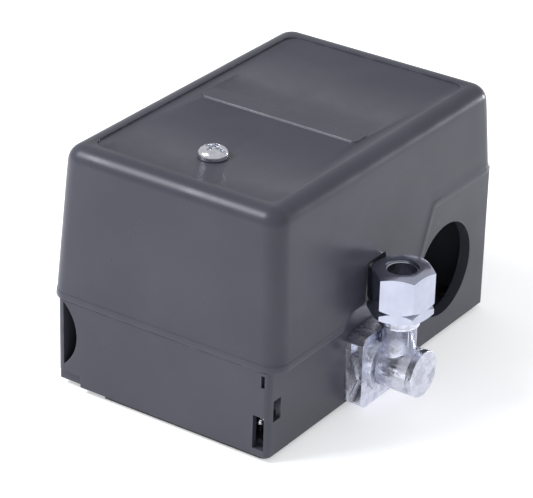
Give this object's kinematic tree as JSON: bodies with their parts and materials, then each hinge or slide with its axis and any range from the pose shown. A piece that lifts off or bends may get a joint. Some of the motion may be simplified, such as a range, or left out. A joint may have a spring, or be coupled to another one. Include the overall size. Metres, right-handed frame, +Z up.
{
  "type": "compressor pressure switch",
  "caption": "Compact compressor pressure switch with a deep black lid, threaded port underneath, side cable holes and an elbow unloader valve with a compression nut.",
  "frame": {"origin": "centre of the threaded pressure port at the underside of the steel bottom plate", "axes": "+Z up through the lid, +X towards the unloader valve, -Y towards the end with the lid screw"},
  "size_m": [0.0731, 0.0893, 0.059],
  "materials": {
    "black_plastic": "fine semi-gloss moulded, charcoal black",
    "phenolic": "moulded phenolic, near black",
    "zinc_cast": "nickel-plated die-cast zinc, satin",
    "plated_nut": "bright nickel-plated brass",
    "zinc_steel": "clear zinc-plated steel",
    "spring_steel": "oiled spring wire",
    "screw_steel": "bright zinc-plated steel",
    "brass": "plain turned brass",
    "copper_strip": "copper alloy strip with silver-alloy buttons",
    "rubber_black": "nitrile rubber",
    "ground_green": "green-dyed plated steel",
    "black_steel": "black-passivated steel, satin"
  },
  "bodies": {
    "housing": {"base_housing": "black_plastic", "side_wall_right": "black_plastic", "side_wall_left": "black_plastic", "bottom_plate": "black_steel", "plate_rivets": "black_steel", "port_flange": "zinc_cast", "diaphragm": "rubber_black", "clamp_ring": "zinc_steel", "flange_screws": "screw_steel", "side_cheeks": "zinc_steel", "top_bridge": "zinc_steel", "bracket_screws": "screw_steel", "pivot_pin": "screw_steel", "cover_post": "zinc_steel", "contact_block": "phenolic", "block_screws": "screw_steel", "line_terminals": "copper_strip", "load_terminals": "copper_strip", "terminal_clamps": "zinc_steel", "terminal_screws": "brass", "ground_screws": "ground_green", "valve_body": "zinc_cast", "valve_locknut": "zinc_steel", "valve_plug": "zinc_cast", "ferrule": "screw_steel", "range_clip": "spring_steel", "valve_spring": "spring_steel"},
    "lid": {"cover": "black_plastic"},
    "lid_screw": {"cover_screw": "screw_steel"},
    "lever": {"main_lever": "zinc_steel", "valve_cam": "zinc_steel", "range_spring": "spring_steel"},
    "pusher": {"piston": "zinc_cast"},
    "carrier": {"contact_carrier": "phenolic", "contact_bridges": "copper_strip", "contact_springs": "spring_steel", "carrier_caps": "phenolic"},
    "release": {"valve_pin": "brass", "valve_seal": "rubber_black"},
    "seat": {"spring_seat": "zinc_steel"},
    "adjuster": {"range_screw": "screw_steel"},
    "nut": {"compression_nut": "plated_nut"}
  },
  "joints": [
    {"name": "lid_lift", "type": "slide", "parent": "housing", "child": "lid", "axis": [0, 0, 1], "range_m": [0, 0.045]},
    {"name": "lid_screw_turn", "type": "hinge", "parent": "lid", "child": "lid_screw", "pos_m": [0, -0.0262, 0.057], "axis": [0, 0, 1], "continuous": true},
    {"name": "lever_tilt", "type": "hinge", "parent": "housing", "child": "lever", "pos_m": [0, 0.0105, 0.0197], "axis": [-1, 0, 0], "range_deg": [0, 3.6], "deforming": ["range_spring"]},
    {"name": "pusher_lift", "type": "slide", "parent": "housing", "child": "pusher", "axis": [0, 0, 1], "range_m": [0, 0.0007]},
    {"name": "carrier_lift", "type": "slide", "parent": "housing", "child": "carrier", "axis": [0, 0, 1], "range_m": [0, 0.0024]},
    {"name": "release_push", "type": "slide", "parent": "housing", "child": "release", "axis": [1, 0, 0], "range_m": [0, 0.0008], "deforming": ["valve_spring"]},
    {"name": "range_turn", "type": "hinge", "parent": "housing", "child": "adjuster", "pos_m": [0, 0, 0.04], "axis": [0, 0, 1], "range_deg": [0, 1080]},
    {"name": "seat_travel", "type": "slide", "parent": "housing", "child": "seat", "axis": [0, 0, -1], "range_m": [0, 0.003], "deforming": ["range_spring"]},
    {"name": "nut_turn", "type": "hinge", "parent": "housing", "child": "nut", "pos_m": [0.036, -0.0065, 0.028], "axis": [0, 0, 1], "continuous": true}
  ],
  "couplings": [
    {"joint": "pusher_lift", "follows": "lever_tilt", "m_per_rad": 0.0105},
    {"joint": "carrier_lift", "follows": "lever_tilt", "m_per_rad": 0.0367},
    {"joint": "release_push", "follows": "lever_tilt", "m_per_rad": 0.0119},
    {"joint": "range_turn", "follows": "seat_travel", "rad_per_m": 6283.2}
  ]
}
